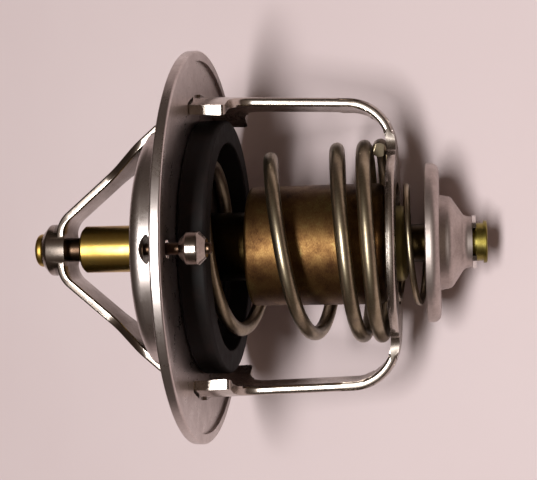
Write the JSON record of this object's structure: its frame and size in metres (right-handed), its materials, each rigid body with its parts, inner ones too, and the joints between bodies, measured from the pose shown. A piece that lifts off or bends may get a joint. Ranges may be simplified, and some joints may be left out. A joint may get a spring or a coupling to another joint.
{
  "type": "engine coolant valve",
  "caption": "Wax-pellet engine coolant thermostat with a round flange, a piston bridge, a sprung rubber-lined main valve, a spring cage and a bypass valve.",
  "frame": {"origin": "on the axis, midway through the thickness of the flange rim", "axes": "+Z along the axis towards the bridge and the radiator, -Z towards the engine; the legs of the bridge and of the lower frame stand at +X and -X; the jiggle pin is on the -Y side"},
  "size_m": [0.056, 0.056, 0.065],
  "materials": {
    "flange_plate": "rolled stainless sheet, satin with fine scuffs",
    "seat_plate": "plain stainless sheet, satin",
    "bridge": "pressed stainless strap, bright with rounded edges",
    "piston": "ground hard steel, dark",
    "piston_plug": "turned brass, dull",
    "guide": "turned brass, bright",
    "collar": "turned steel, dull",
    "cup": "drawn brass, tarnished brown and mottled",
    "seal_washer": "white filled fluoroplastic",
    "rubber_boot": "black rubber",
    "wax_charge": "wax with copper powder",
    "valve_dish": "pressed steel, dull",
    "valve_skirt": "black moulded rubber, matt",
    "main_spring": "drawn stainless wire, dull",
    "lower_frame": "pressed stainless strap, bright",
    "bypass_stem": "turned brass",
    "bypass_spring": "drawn stainless wire",
    "bypass_pan": "pressed stainless sheet, satin",
    "bypass_bell": "pressed sheet, matt",
    "retaining_clip": "bright plated spring steel",
    "jiggle_pin": "turned steel, dull",
    "jiggle_weight": "turned stainless steel, bright"
  },
  "bodies": {
    "flange": {"flange_plate": "flange_plate", "seat_plate": "seat_plate", "bridge": "bridge", "piston": "piston", "piston_plug": "piston_plug", "lower_frame": "lower_frame"},
    "element": {"guide": "guide", "collar": "collar", "cup": "cup", "seal_washer": "seal_washer", "rubber_boot": "rubber_boot", "wax_charge": "wax_charge", "valve_dish": "valve_dish", "valve_skirt": "valve_skirt", "main_spring": "main_spring", "bypass_stem": "bypass_stem", "retaining_clip": "retaining_clip", "bypass_spring": "bypass_spring"},
    "bypass": {"bypass_pan": "bypass_pan", "bypass_bell": "bypass_bell"},
    "jiggle": {"jiggle_pin": "jiggle_pin", "jiggle_weight": "jiggle_weight"}
  },
  "joints": [
    {"name": "element_slide", "type": "slide", "parent": "flange", "child": "element", "axis": [0, 0, -1], "range_m": [0, 0.008], "stiffness_N_per_m": 2700, "springref_m": -0.004, "deforming": ["main_spring"]},
    {"name": "bypass_slide", "type": "slide", "parent": "element", "child": "bypass", "axis": [0, 0, 1], "range_m": [0, 0.003], "stiffness_N_per_m": 400, "springref_m": -0.001, "deforming": ["bypass_spring"]},
    {"name": "jiggle_slide", "type": "slide", "parent": "flange", "child": "jiggle", "axis": [0, 0, 1], "range_m": [-0.00165, 0.0016]}
  ]
}
